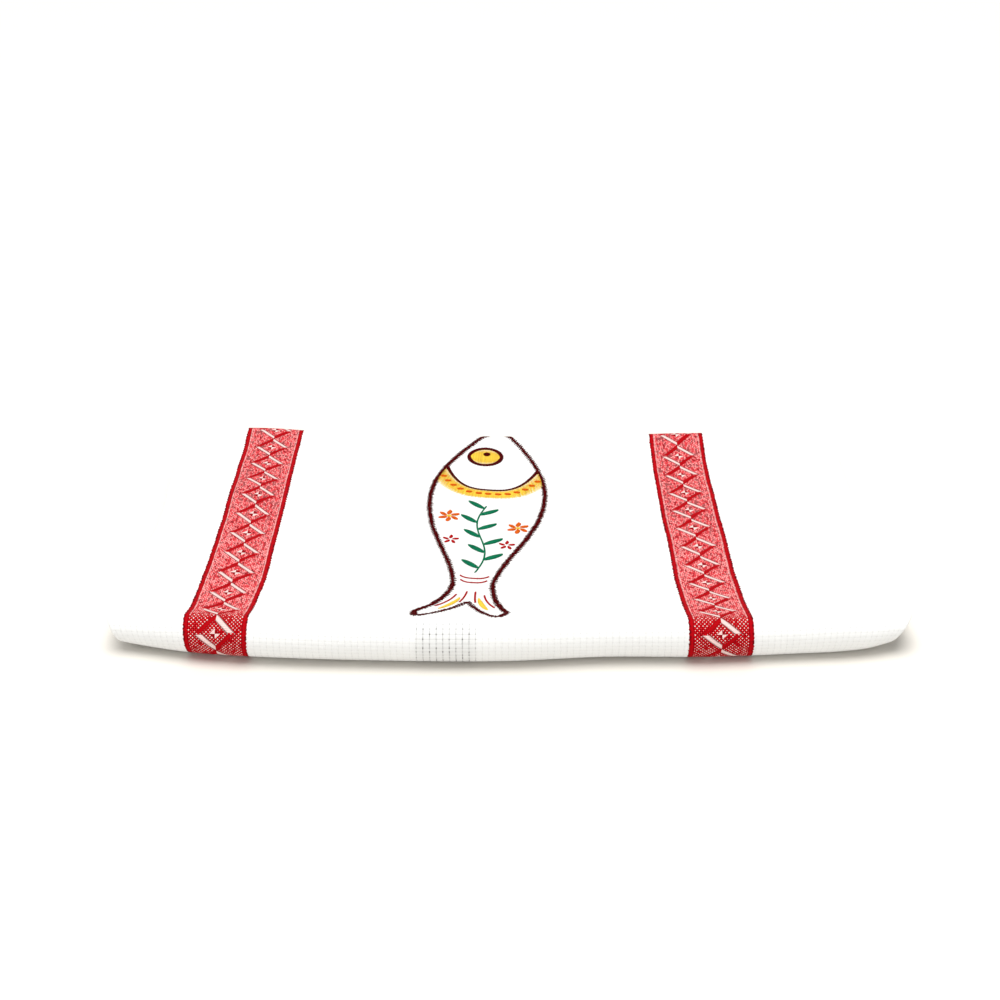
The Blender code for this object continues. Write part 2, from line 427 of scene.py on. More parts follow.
def with_rims(values, turns):
    """The values with each end repeated for its rim, and the turn that belongs to each."""
    rim = len(turns)
    longer = np.concatenate([np.full(rim, values[0]), values, np.full(rim, values[-1])])
    turn = np.concatenate([-turns[::-1], np.zeros(len(values)), turns])
    return longer, turn


def make_cloth(material):
    """The folded cloth: its outer and inner face on one grid of places across and along, closed
    by rounded rims. Its flat map holds the distance across and the length of cloth from the
    ridge of the front fold."""
    even = np.linspace(-1, 1, ROWS_ACROSS)
    shares, edge_turn = with_rims(even * (1 + END_CROWDING - END_CROWDING * even**2), RIM_TURNS)
    legs = [leg + np.arange(steps) / steps for leg, steps in enumerate(LEG_STEPS)]
    places, hem_turn = with_rims(np.append(np.concatenate(legs), LEG_COUNT), RIM_TURNS)
    across = shares[:, None] * CLOTH_WIDTH / 2
    grid = (across, places[None, :])
    turns = {"edge_turn": edge_turn[:, None], "hem_turn": hem_turn[None, :]}
    outer = centred(cloth_surface(*grid, OUTER_FACE, **turns))
    inner = centred(cloth_surface(*grid, INNER_FACE, **turns))

    steps = np.linalg.norm(np.diff(outer[..., 1:], axis=1), axis=-1)
    travelled = np.concatenate([np.zeros((len(outer), 1)), np.cumsum(steps, axis=1)], axis=1)
    along = travelled - travelled[:, places.searchsorted(TOP)][:, None]
    along = along + RIDGE_EASE * np.sin(np.pi * np.clip(-along / RIDGE_EASE_RUN, 0, 1))
    flat_across = across + RIM_BULGE * np.sin(edge_turn)[:, None] + 0 * along
    flat = np.stack([flat_across, along], axis=-1).reshape(-1, 2)
    side = np.repeat([OUTER_FACE, INNER_FACE], len(flat))

    points, faces = closed_sheet(outer, inner)
    cloth = mesh_piece(
        "towel_cloth", points, faces, np.concatenate([flat, flat]), {FACE_SIDE: side}, material
    )
    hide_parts("towel")
    return cloth


def surface_frame(across, place, side):
    """A point of the cloth's face and the unit direction out of it, from two short steps."""
    point = cloth_surface(across, place, side)
    sideways = cloth_surface(across + ACROSS_STEP, place, side) - point
    forwards = cloth_surface(across, place + PLACE_STEP, side) - point
    return centred(point), unit(np.cross(sideways, forwards) * side)


# Threads of the sewing: their rings and sides, and how far one may be lighter or darker. The ends
# of satin stitches swell and shrink once in a few stitches.
THREAD_RINGS = 5
THREAD_SIDES = 6
THREAD_SHADES = (0.8, 1.12)
STITCHES_PER_BUMP = 4.1
LOWEST_STITCH = -0.04 * MM


def lay_threads(starts, ends, width, rise, sink, side=OUTER_FACE, place_at=place_of):
    """Stitches as round threads. Each runs straight over the flat cloth from its start to its
    end, comes up out of the cloth, arches over it and goes down again: height over the cloth is
    the rise times the root of the sine of its share, less the sink. A thread's radius is half
    its width, and two thirds of that at its ends. Under the towel a stitch is pressed flat."""
    share = np.linspace(0, 1, THREAD_RINGS)[None, :]
    flat = starts[:, None, :] + (ends - starts)[:, None, :] * share[..., None]
    foot, out = surface_frame(flat[..., 0], place_at(flat[..., 0], flat[..., 1]), side)
    arch = np.sin(np.pi * share)
    centre = foot + out * (rise * np.sqrt(arch) - sink)[..., None]
    centre[..., 2] = np.maximum(centre[..., 2], LOWEST_STITCH + width / 3)
    ahead = np.gradient(centre, axis=1)
    beside = unit(np.cross(ahead, out))
    upward = unit(np.cross(beside, ahead))
    radius = (width / 2 * (2 + arch) / 3)[..., None, None]
    turn = np.arange(THREAD_SIDES) / THREAD_SIDES
    angle = 2 * np.pi * turn[None, None, :, None]
    ring = np.cos(angle) * beside[:, :, None, :] + np.sin(angle) * upward[:, :, None, :]
    points = (centre[:, :, None, :] + radius * ring).reshape(-1, 3)
    points[:, 2] = np.maximum(points[:, 2], LOWEST_STITCH)

    count = len(starts)
    number = np.arange(len(points)).reshape(count, THREAD_RINGS, THREAD_SIDES)
    following = np.roll(number, -1, axis=2)
    first, last = number[:, 0], number[:, -1]
    faces = np.concatenate([
        quads(number[:, :-1], number[:, 1:], following[:, 1:], following[:, :-1]),
        quads(first[:, 0], first[:, 1], first[:, 2], first[:, 3]),
        quads(first[:, 0], first[:, 3], first[:, 4], first[:, 5]),
        quads(last[:, 3], last[:, 2], last[:, 1], last[:, 0]),
        quads(last[:, 5], last[:, 4], last[:, 3], last[:, 0]),
    ])
    length = np.linalg.norm(ends - starts, axis=1)[:, None, None]
    run = np.broadcast_to(length * share[..., None], number.shape)
    round_map = np.broadcast_to(turn[None, None, :] * width, number.shape)
    flat_map = np.stack([run, round_map], axis=-1).reshape(-1, 2)
    shade = np.random.default_rng(count).uniform(*THREAD_SHADES, count)
    shades = np.repeat(shade, THREAD_RINGS * THREAD_SIDES)
    return points, faces, flat_map, shades


def join_threads(batches):
    """Several batches of threads as one set of points, faces, map and shades."""
    offsets = np.cumsum([0] + [len(points) for points, *_ in batches[:-1]])
    faces = [batch[1] + offset for batch, offset in zip(batches, offsets)]
    points, _, flat_map, shades = (np.concatenate(parts) for parts in zip(*batches))
    return points, np.concatenate(faces), flat_map, shades


def travelled_along(line):
    """The length of the line up to each of its points."""
    return np.append(0, np.cumsum(np.linalg.norm(np.diff(line, axis=0), axis=1)))


def on_line(line, travelled, at):
    """The points of the line at these lengths along it."""
    return np.stack([np.interp(at, travelled, values) for values in line.T], axis=1)


def evenly_along(line, pitch):
    """Points at an even pitch along a line, its unit direction there, and the share run."""
    travelled = travelled_along(line)
    count = max(int(round(travelled[-1] / pitch)), 1)
    share = (np.arange(count) + 0.5) / count
    at = share * travelled[-1]
    ahead = on_line(line, travelled, at + pitch)
    behind = on_line(line, travelled, at - pitch)
    return on_line(line, travelled, at), unit(ahead - behind), share


def satin(line, width, pitch, profile=None, ragged=0.0, lean=0.5):
    """Starts and ends of satin stitches side by side over a line. Each crosses the line with a
    lean, and is as long as the width times the profile of the share run. Ragged ends grow and
    shrink over a few stitches, with a seeded spread on top."""
    point, direction, share = evenly_along(line, pitch)
    left = np.stack([-direction[:, 1], direction[:, 0]], axis=1)
    reach = np.full(len(share), width / 2) if profile is None else width / 2 * profile(share)
    turn = 2 * np.pi * np.arange(len(share)) / STITCHES_PER_BUMP
    spread = np.random.default_rng(len(share)).uniform(-0.5, 0.5, (2, len(share)))
    spread = ragged * (spread + np.stack([np.sin(turn), np.cos(1.13 * turn)]))
    crossing = unit(left + lean * direction)
    starts = point + crossing * (reach + spread[0])[:, None]
    ends = point - crossing * (reach + spread[1])[:, None]
    return starts, ends


def running(line, stitch, gap):
    """Starts and ends of stitches in line, each as long as the stitch, with gaps between."""
    point, direction, _ = evenly_along(line, stitch + gap)
    return point - direction * stitch / 2, point + direction * stitch / 2


def petal(share):
    """Width of a leaf or petal: the root of a sine, widest halfway."""
    return np.sqrt(np.sin(np.pi * share))


def disc(share):
    """Width of a disc: a circle's chord."""
    return 2 * np.sqrt(share * (1 - share))


# The fish, in its own plane: how far along its axis from the tips of its tail, and how far to
# the side. Its axis leans a little across the cloth.
FISH_LENGTH = 250 * MM
FISH_HALF_WIDTH = 37 * MM
FISH_FOOT = np.array([-25 * MM, 5 * MM])
FISH_LEAN = np.radians(4.3)
WAIST = 49 * MM
WAIST_HALF_WIDTH = 11.6 * MM
BODY_FULLNESS = 1.13
TAIL_END_POWER = 1.3
HEAD_END_POWER = 0.88
TAIL_NOTCH = (28 * MM, 0)
TAIL_TIP = (1 * MM, 23.5 * MM)
TAIL_SHOULDER = (11 * MM, 26.5 * MM)
TAIL_HIND_BEND = (8 * MM, 12 * MM)
TAIL_FORE_BEND = (27 * MM, 14 * MM)
TAIL_SWING = 5.6 * MM
OUTLINE_WIDTH = 3.0 * MM
OUTLINE_RAGGED = 1.0 * MM
HIND_EDGE_SHARE = 0.11
OUTLINE_ROUNDING = 3 * MM
FINE_POINTS = 900


def on_towel(fish_points):
    """Points in the fish's plane as distances across and along the flat cloth: its tail swung
    aside by the square of how far it lies behind the body, all turned by its lean and moved to
    its foot."""
    along_axis = fish_points[..., 0]
    into_tail = np.clip(1 - along_axis / WAIST, 0, None)
    beside_axis = fish_points[..., 1] - TAIL_SWING * into_tail**2
    across = along_axis * np.sin(FISH_LEAN) + beside_axis * np.cos(FISH_LEAN)
    along = along_axis * np.cos(FISH_LEAN) - beside_axis * np.sin(FISH_LEAN)
    return np.stack([across, along], axis=-1) + FISH_FOOT


def body_half_width(along_axis):
    """Half the body's width: from the waist before the tail it swells like a sine, raised to a
    power that falls from the tail's end to the head's, and what is left of the waist's width
    fades towards the mouth."""
    share = np.clip((along_axis - WAIST) / (FISH_LENGTH - WAIST), 0, 1)
    power = between(TAIL_END_POWER, HEAD_END_POWER, smooth_step(2 * share))
    full = np.sin(np.pi * share**BODY_FULLNESS) ** power
    return FISH_HALF_WIDTH * full + WAIST_HALF_WIDTH * (1 - full) * (1 - smooth_step(share))


def bend(start, control, end, count):
    """A curve from start to end, drawn towards the control point: a quadratic Bezier."""
    t = np.linspace(0, 1, count)[:, None]
    start, control, end = (np.array(point, float) for point in (start, control, end))
    return start * (1 - t) ** 2 + control * 2 * t * (1 - t) + end * t * t


def rounded(line, reach):
    """The line with its corners rounded: each point moves to the mean of those up to the reach
    before and behind it."""
    travelled = travelled_along(line)
    at = np.linspace(0, travelled[-1], FINE_POINTS)
    count = int(reach / at[1])
    window = np.ones(2 * count + 1) / (2 * count + 1)
    even = [np.pad(np.interp(at, travelled, values), count, mode="edge") for values in line.T]
    return np.stack([np.convolve(values, window, "valid") for values in even], axis=1)


def fish_side(hand):
    """Half of the outline, from the notch of the tail round its tip and along the body to the
    mouth. The hand is 1 or -1 for the side."""
    to_side = np.array([1, hand])
    waist = (WAIST, hand * WAIST_HALF_WIDTH)
    hind_edge = bend(TAIL_NOTCH, TAIL_HIND_BEND * to_side, TAIL_TIP * to_side, 40)
    fore_edge = bend(TAIL_SHOULDER * to_side, TAIL_FORE_BEND * to_side, waist, 60)
    along_axis = np.linspace(WAIST, FISH_LENGTH, 200)
    body = np.stack([along_axis, hand * body_half_width(along_axis)], axis=1)
    return rounded(np.concatenate([hind_edge, fore_edge[:-1], body]), OUTLINE_ROUNDING)


def thinner_behind(share):
    """Width of the outline: less along the hind edge of the tail, whole past its tip."""
    return 0.6 + 0.4 * smooth_step((share / HIND_EDGE_SHARE - 0.8) / 0.4)


def arc_across(centre, sag, reach, count=60):
    """A bow across the fish, from side to side, flat in its middle. Its ends stand ahead by the
    sag, and between them it rises with a power of the way out."""
    side = np.linspace(-1, 1, count)
    return np.stack([centre + sag * abs(side) ** BOW_POWER, reach * side], axis=1)


def spot(centre, wide, long, pitch):
    """Satin stitches that run along the fish and fill a round spot."""
    side = np.linspace(-wide / 2, wide / 2, 40)
    line = np.stack([0 * side, side], axis=1) + np.array(centre)
    return satin(line, long, pitch, disc, lean=0)


def ring(centre, radius, count=60):
    """A closed circle round a centre."""
    angle = np.linspace(0, 2 * np.pi, count)
    return np.array(centre) + radius * np.stack([np.cos(angle), np.sin(angle)], axis=1)


def compass(heading):
    """The unit direction in the fish's plane at an angle from its axis."""
    return np.array([np.cos(heading), np.sin(heading)])


def leaf_line(foot, heading, length):
    """The straight midline of a leaf or petal."""
    return foot + np.linspace(0, 1, 8)[:, None] * length * compass(heading)


def stem_line():
    """The stem: a slow wave about the fish's axis."""
    along_axis = np.linspace(STEM_START, STEM_END, 90)
    share = (along_axis - STEM_START) / (STEM_END - STEM_START)
    return np.stack([along_axis, STEM_SWAY * np.sin(2 * np.pi * share)], axis=1)


STEM_START = 64 * MM
STEM_END = 146 * MM
STEM_SWAY = 4 * MM
STEM_WIDTH = 1.4 * MM
STEM_LEAN = 1.2
LEAF_COUNT = 9
LEAF_START = 0.7
LEAF_LENGTH = 14 * MM
LEAF_WIDTH = 5 * MM
LEAF_SPREAD = np.radians(52)

EYE_CENTRE = (212 * MM, -6 * MM)
EYE_RADIUS = 10.8 * MM
EYE_RIM = 3.5 * MM
RIM_RAGGED = 0.2 * MM
PUPIL_CENTRE = (215 * MM, -5.2 * MM)
PUPIL_WIDTH = 4.6 * MM
PUPIL_LENGTH = 6.4 * MM

GILL = 168 * MM
GILL_SAG = 28 * MM
GILL_WIDTH = 2.6 * MM
GILL_RAGGED = 0.15 * MM
BOW_POWER = 3.0
STRIPE_WIDTH = 10 * MM
STRIPE_SAG = 18 * MM
STRIPE_RAGGED = 0.5 * MM
DOT_WIDTH = 4.2 * MM
DOT_LENGTH = 3.4 * MM
DOT_PITCH = 7 * MM

# Blossoms and buds beside the stem: how far along the fish, how far to its side, how many
# petals, and the length and width of one petal. Sizes are in millimetres.
BLOSSOMS = (
    (131, -22.5, 6, 5.2, 3.8),
    (120, 22, 6, 5.2, 3.8),
)
BUDS = (
    (102, -18.5, 5, 3.8, 2.6),
    (98, 16.5, 5, 3.8, 2.6),
)
HEART_SHARE = 0.62
PETAL_START_SHARE = 0.35

# Lines in one lobe of the tail: along the fish and to its side, in millimetres, of the start,
# of a bend that draws it, and of the end. The rays are scarlet, and the leaf between is yellow.
TAIL_RAYS = (
    (41, 2.5, 34, 2.8, 27, 4.6),
    (37, 8.2, 28, 10.2, 20, 17.0),
)
TAIL_LEAF = (33, 5.5, 25, 7.6, 16, 14.0)
TAIL_LEAF_WIDTH = 3.4 * MM
WAIST_LINES = (52 * MM, 57 * MM)
WAIST_LINE_INSET = 4 * MM
WAIST_LINE_SAG = 3 * MM
FINE_LINE = 1.1 * MM

# How far embroidery stands over the cloth, and its ends sink into it. Upper layers stand higher.
SATIN_RISE = 0.42 * MM
LOW_RISE = 0.3 * MM
DOT_RISE = 0.9 * MM
PUPIL_RISE = 1.0 * MM
STITCH_SINK = 0.12 * MM

# The seams of the hems.
SEAM_FROM_SELVEDGE = 10 * MM
SEAM_STITCH_SHARE = 0.85
SEAM_THREAD = 0.5 * MM
SEAM_RISE = 0.2 * MM
SEAM_SINK = 0.1 * MM


def flowers(rows):
    """The flowers of a table in metres, one dictionary each."""
    for along, side, petals, length, width in rows:
        sizes = {"along": along, "side": side, "length": length, "width": width}
        yield {"petals": petals, **{name: value * MM for name, value in sizes.items()}}


def petals_of(rows, pitch):
    """Satin petals round the heart of each flower of a table."""
    for flower in flowers(rows):
        for number in range(flower["petals"]):
            heading = 2 * np.pi * number / flower["petals"]
            from_heart = PETAL_START_SHARE * flower["length"] * compass(heading)
            start = np.array([flower["along"], flower["side"]]) + from_heart
            yield satin(leaf_line(start, heading, flower["length"]), flower["width"], pitch, petal)


def tail_line(row, hand):
    """One line of the tail, in the lobe on this hand."""
    points = np.reshape(row, (3, 2)) * MM * np.array([1, hand])
    return bend(*points, 20)


def leaves(pitch):
    """Satin leaves, in turn on each side of the stem."""
    stem = stem_line()
    for number in range(LEAF_COUNT):
        foot = stem[int((number + LEAF_START) / LEAF_COUNT * (len(stem) - 1))]
        hand = 1 if number % 2 else -1
        yield satin(leaf_line(foot, hand * LEAF_SPREAD, LEAF_LENGTH), LEAF_WIDTH, pitch, petal)


def bow_behind_gill(behind, sag, count=60):
    """A bow like the gill's, this far behind it, from side to side of the body."""
    reach = body_half_width(np.array(GILL + sag - behind)) - OUTLINE_WIDTH / 4
    return arc_across(GILL - behind, sag, reach, count)


def fuller_at_ends(share):
    """Width of the gill's line: whole at its ends and less in the middle."""
    return 0.8 + 0.3 * (2 * share - 1) ** 2


def stripe(pitch):
    """Stitches of the stripe behind the gill. Each runs along the fish from one bow to the
    other, and its ends are spread a little by a seeded number."""
    count = int(2 * body_half_width(np.array(GILL)) / pitch)
    starts = bow_behind_gill(GILL_WIDTH / 4, GILL_SAG, count)
    ends = bow_behind_gill(GILL_WIDTH / 4 + STRIPE_WIDTH, STRIPE_SAG, count)
    ends[:, 0] += np.random.default_rng(count).uniform(-STRIPE_RAGGED, STRIPE_RAGGED, count)
    return starts, ends


def maths_method(operation, swapped=False):
    """A method of a term that adds one Math node and gives its result."""

    def method(self, *others):
        numbers = (*others, self) if swapped else (self, *others)
        return self.paint.maths(operation, *numbers)

    return method


def opaque(colour):
    """A plain colour with full alpha, or a socket as it is."""
    return colour if isinstance(colour, bpy.types.NodeSocket) else (*colour, 1.0)


class Term:
    """A number inside a material, so that shader maths reads as a Python expression."""

    def __init__(self, paint, socket):
        self.paint = paint
        self.socket = socket

    __add__ = __radd__ = maths_method("ADD")
    __sub__ = maths_method("SUBTRACT")
    __rsub__ = maths_method("SUBTRACT", swapped=True)
    __mul__ = __rmul__ = maths_method("MULTIPLY")
    __truediv__ = maths_method("DIVIDE")
    __pow__ = maths_method("POWER")
    __gt__ = maths_method("GREATER_THAN")
    __lt__ = maths_method("LESS_THAN")
    __abs__ = maths_method("ABSOLUTE")
    sine = maths_method("SINE")
    floor = maths_method("FLOOR")
    fraction = maths_method("FRACT")
    least = maths_method("MINIMUM")
    most = maths_method("MAXIMUM")

    def step_up(self, low, high):
        """0 at low, 1 at high, and an S between them. It falls where high is below low."""
        inputs = {"Value": self, "From Min": low, "From Max": high}
        settings = {"interpolation_type": "SMOOTHSTEP"}
        return self.paint.term(self.paint.node("ShaderNodeMapRange", settings, inputs), "Result")

    def choose(self, first, second):
        """The first number where this is 0, the second where it is 1."""
        return first + (second - first) * self

    def mix(self, first, second):
        """The first colour where this is 0, the second where it is 1."""
        inputs = {"Factor": self, 6: opaque(first), 7: opaque(second)}
        return self.paint.node("ShaderNodeMix", {"data_type": "RGBA"}, inputs).outputs[2]

    def shade(self, colour):
        """A plain colour made this much darker or lighter."""
        inputs = {0: colour, "Scale": self}
        return self.paint.node("ShaderNodeVectorMath", {"operation": "SCALE"}, inputs).outputs[0]

    def to_edge(self):
        """How far a share of a cell is from the nearer edge of the cell."""
        return self.least(1 - self)


class Paint:
    """One material and the nodes that it is made of."""

    def __init__(self, name):
        self.material = bpy.data.materials.new(name)
        self.material.use_nodes = True
        self.tree = self.material.node_tree
        self.tree.nodes.clear()

    def node(self, kind, settings=None, inputs=None):
        """A node of this kind: its settings first, then what its sockets hold or are fed."""
        node = self.tree.nodes.new(kind)
        for name, value in (settings or {}).items():
            setattr(node, name, value)
        for key, value in (inputs or {}).items():
            value = value.socket if isinstance(value, Term) else value
            if isinstance(value, bpy.types.NodeSocket):
                self.tree.links.new(value, node.inputs[key])
            else:
                node.inputs[key].default_value = value
        return node

    def term(self, node, output):
        return Term(self, node.outputs[output])

    def maths(self, operation, *numbers):
        inputs = dict(enumerate(numbers))
        return self.term(self.node("ShaderNodeMath", {"operation": operation}, inputs), 0)

    def flat_map(self):
        """Distances in millimetres across and along the cloth, or along and round a thread."""
        flat = self.node("ShaderNodeUVMap", {"uv_map": CLOTH_MAP}).outputs[0]
        split = self.node("ShaderNodeSeparateXYZ", inputs={0: flat})
        return self.term(split, 0) / MM, self.term(split, 1) / MM

    def noise(self, across, along, period, detail=1.0):
        """Cloudy values about 0, from -1 to 1, over the cloth. The period is in millimetres."""
        vector = self.node("ShaderNodeCombineXYZ", inputs={0: across, 1: along})
        inputs = {"Vector": vector.outputs[0], "Scale": 1 / period, "Detail": detail}
        texture = self.node("ShaderNodeTexNoise", {"noise_dimensions": "2D"}, inputs)
        return (self.term(texture, 0) - 0.5) * 2

    def attribute(self, name):
        return self.term(self.node("ShaderNodeAttribute", {"attribute_name": name}), "Fac")

    def finish(self, colour, roughness, height, **same_all_over):
        """The shader. The height is in millimetres, and what is the same all over the surface
        is set on the shader's own sockets."""
        bump = self.node("ShaderNodeBump", inputs={"Distance": MM, "Height": height})
        inputs = {"Base Color": colour, "Roughness": roughness, "Normal": bump.outputs[0]}
        inputs.update({name.replace("_", " "): value for name, value in same_all_over.items()})
        shader = self.node("ShaderNodeBsdfPrincipled", inputs=inputs)
        self.node("ShaderNodeOutputMaterial", inputs={"Surface": shader.outputs[0]})
        return self.material


def alternate(column, row):
    """0 and 1 in turn, like the fields of a chessboard."""
    return ((column.floor() + row.floor()) / 2).fraction() * 2


# Sizes in materials are in millimetres on the flat cloth. A pair of them says where a mask is 0
# and where it is 1.

# The canvas: how far its bundles are shifted across the cloth, the holes at their corners, the
# grooves between them, and the thin place on the front fold.
WEAVE_SHIFT = 0.84
HOLE = (0.6, 0.2)
COLUMN_GROOVE = (0.32, 0.04)
OPEN_COLUMN = (0.45, 0.1)
ROW_GROOVE = (0.35, 0.05)
ARCH_HEIGHT = 0.14
RIB_HEIGHT = 0.05
THIN_MIDDLE = -35.2
THIN_SIDES = (19.2, 13.5)
THIN_TOP = (1, -8)
THIN_FOOT = (-40, -34)
THIN_PATCHES = (-0.02, 0.26)


def canvas(paint, across, along, sizes, colours):
    """Colour and height of the white canvas. Bundles of threads pass over and under each other.
    A bundle on top is an arch over its length with a rib for each thread across it. There is a
    small hole at each corner and a shallow groove between bundles. In the thin place the holes
    and grooves are open, in uneven patches."""
    cell_across, cell_along = sizes.cell_across / MM, sizes.cell_along / MM
    column, row = (across + WEAVE_SHIFT) / cell_across, along / cell_along
    in_column, in_row = column.fraction(), row.fraction()
    weft_on_top = alternate(column, row)
    ribs = np.pi * sizes.threads_in_bundle
    warp_rib = abs((in_column * ribs).sine())
    weft_rib = abs((in_row * ribs).sine())
    warp = (in_row * np.pi).sine() * ARCH_HEIGHT + warp_rib * RIB_HEIGHT
    weft = (in_column * np.pi).sine() * ARCH_HEIGHT + weft_rib * RIB_HEIGHT
    from_column = in_column.to_edge() * cell_across
    from_row = in_row.to_edge() * cell_along
    hole = ((from_column**2 + from_row**2) ** 0.5).step_up(*HOLE)
    column_groove = from_column.step_up(*COLUMN_GROOVE)
    row_groove = from_row.step_up(*ROW_GROOVE)
    # The colour is painted darker between the ribs, in the holes and in the grooves, as painted
    # shade, and darker still in the thin place, where the weave is open.
    rib_painted_shade = (1 - weft_on_top.choose(warp_rib, weft_rib)) * 0.05
    even_painted_shade = hole * 0.05 + column_groove * 0.035 + row_groove * 0.03 + rib_painted_shade

    thin = abs(across - THIN_MIDDLE).step_up(*THIN_SIDES) * along.step_up(*THIN_TOP)
    thin = thin * along.step_up(*THIN_FOOT)
    patchy = paint.noise(across, along, 3.6).step_up(*THIN_PATCHES)
    thin_painted_shade = hole * (0.1 + patchy * 0.25) + row_groove * 0.14 + 0.06 + rib_painted_shade
    thin_painted_shade = thin_painted_shade + from_column.step_up(*OPEN_COLUMN) * (0.16 + patchy * 0.2)

    cloudy = paint.noise(across, along, 40) * 0.01
    colour = (1 + cloudy - thin.choose(even_painted_shade, thin_painted_shade)).shade(colours.cotton)
    height = weft_on_top.choose(warp, weft) * 0.6 - hole * 0.08 - column_groove * 0.04
    return colour, height


# The cloth is stretched on the front fold and lies slack behind it, where the bands widen.
# Behind the fold the bands' ground is also painted lighter, as painted light on the top layer.
BEHIND_FOLD = (-4, 10)
WIDER_FROM_RIDGE = (4, 60)

# The ground of a band: the half axes of a pale spot, as shares of its cell, how far the spots
# reach on the fold, behind it and beside the lozenges, and where its red specks begin.
SPOT_ACROSS, SPOT_ALONG = 0.38, 0.33
SPOT_ON_FOLD, SPOT_BEHIND, SPOT_BESIDE = 0.85, 1.8, 0.6
SPOT_HEART = 0.4
# The gap at each corner, where painted shade in deep red lies: its size on the fold, behind it,
# and at its heart.
GAP_ON_FOLD, GAP_BEHIND, GAP_HEART = 0.19, 0.12, 0.02
SPECKS = (0.12, 0.32)
COARSE_SPECKS = (0.24, 0.36)
COARSE_FROM_RIDGE = (60, 150)
BESIDE_LOZENGES = (6, 13)


def band_ground(paint, beside, along, sizes, colours):
    """Colour and height of the band's ground: a pale spot where the weft lies on top of the red
    warp, in every second small cell, and a gap at each corner painted dark as painted shade.
    Behind the fold the spots run together, mottled and with dark specks, and the red is painted
    lighter there as painted light on the top layer."""
    cell = sizes.band_cell / MM
    column, row = beside / cell, along / cell
    in_column, in_row = column.fraction(), row.fraction()
    weft_on_top = alternate(column, row)
    slack_and_top_lit = along.step_up(*BEHIND_FOLD)
    uneven = slack_and_top_lit.choose(0.3, 1.0)
    coarse = paint.noise(beside + 15, along * 0.4, 2.4)
    mottle = (paint.noise(beside, along * 0.5, 1.2) + coarse) * 0.8 * uneven
    speck = paint.noise(beside + 40, along * 0.45, 1.25).step_up(*SPECKS)
    coarse_speck = coarse.step_up(*COARSE_SPECKS) * along.step_up(*COARSE_FROM_RIDGE)

    from_centre = ((in_column - 0.5) / SPOT_ACROSS) ** 2 + ((in_row - 0.5) / SPOT_ALONG) ** 2
    wider_spot = abs(beside).step_up(*BESIDE_LOZENGES) * SPOT_BESIDE
    size = slack_and_top_lit.choose(SPOT_ON_FOLD, SPOT_BEHIND + wider_spot)
    shown = (slack_and_top_lit * 0.5).choose(weft_on_top, 0.5)
    spot = (from_centre - mottle * 4.5).step_up(size, SPOT_HEART) * shown
    corner = in_column.to_edge() ** 2 + in_row.to_edge() ** 2
    # Painted shade in the gap at each corner, with the dark specks added behind the fold.
    gap = corner.step_up(slack_and_top_lit.choose(GAP_ON_FOLD, GAP_BEHIND), GAP_HEART)
    gap = gap.most(speck.most(coarse_speck) * uneven)

    # Behind the fold the red is painted lighter and mixed towards pink: painted light on the top
    # layer. The mottle is tone at random.
    warp = (slack_and_top_lit.choose(1.25, 2.1) + mottle * 1.4).shade(colours.red)
    warp = (slack_and_top_lit * 0.17).mix(warp, colours.pink)
    weft = (slack_and_top_lit * 0.25).mix(colours.pale, colours.pink)
    thread = spot.mix(warp, weft)
    colour = (gap * slack_and_top_lit.choose(0.9, 0.78)).mix(thread, colours.deep_red_and_shade)
    height = spot * 0.1 + (1 - weft_on_top) * (in_row * np.pi).sine() * 0.08 - gap * 0.12
    return colour, height


# A lozenge, in shares of its half sizes: half the width of a side, red or white, the gaps at its
# corners, its wheel and the fine line of painted shade along each side. The link between two
# lozenges is in millimetres.
RED_SIDE = 0.155
PALE_SIDE_ON_FOLD, PALE_SIDE_BEHIND = 0.18, 0.14
SIDE_CROWN = 0.05
SIDE_GAP = 0.045
WHEEL_REACH = 0.27
WHEEL_GAP = 0.02
SHADE_LINE_AT = 0.01
SHADE_LINE = (0.065, 0.015)
LINK_HALF_WIDTH = 0.75
LINK_HALF_LENGTH = 3.3


def lozenges(beside, along, sizes):
    """Masks of the lozenges in a band. A point's place in its lozenge is u and v, from -1 to 1
    at the corners. The frame lies where |u| + |v| is just under 1, red in two of its sides and
    white in the others, and a small wheel with the colours changed round lies at its heart. The
    white sides are wider on the fold. A thin red line joins the red sides of two lozenges at the
    corner where they meet."""
    half_width = sizes.lozenge_width / MM / 2
    pitch = sizes.lozenge_pitch / MM
    stair = sizes.band_cell / MM / 2
    stepped_beside = ((beside / stair).floor() + 0.5) * stair
    stepped_along = ((along / stair).floor() + 0.5) * stair
    u = stepped_beside / half_width
    v = (stepped_along / pitch).fraction() * 2 - 1
    out = abs(u) + abs(v)
    pale_diagonal = u * v > 0
    pale_side = along.step_up(*BEHIND_FOLD).choose(PALE_SIDE_ON_FOLD, PALE_SIDE_BEHIND)
    half_side = pale_diagonal.choose(RED_SIDE, pale_side)
    from_side = abs(out + half_side - 1)
    frame_side = (from_side < half_side) * (abs(v) > SIDE_GAP)
    wheel = (out < WHEEL_REACH) * (abs(u) > WHEEL_GAP)
    from_tip = ((along / pitch + 0.5).fraction() - 0.5) * pitch
    slant = abs(beside - from_tip * (2 * half_width / pitch))
    link = (slant < LINK_HALF_WIDTH) * (abs(from_tip) < LINK_HALF_LENGTH)
    # A fine line of painted shade beside each side of the frame, stronger beside the white sides.
    painted_shade_line = abs(from_side - half_side - SHADE_LINE_AT).step_up(*SHADE_LINE)
    return {
        "pale": (frame_side * pale_diagonal + wheel * (1 - pale_diagonal)) * (1 - link),
        "red": (frame_side * (1 - pale_diagonal) + wheel * pale_diagonal).most(link),
        "wheel": wheel,
        "crown": from_side.step_up(half_side, SIDE_CROWN),
        "outline": painted_shade_line * (0.45 + pale_diagonal * 0.55),
    }


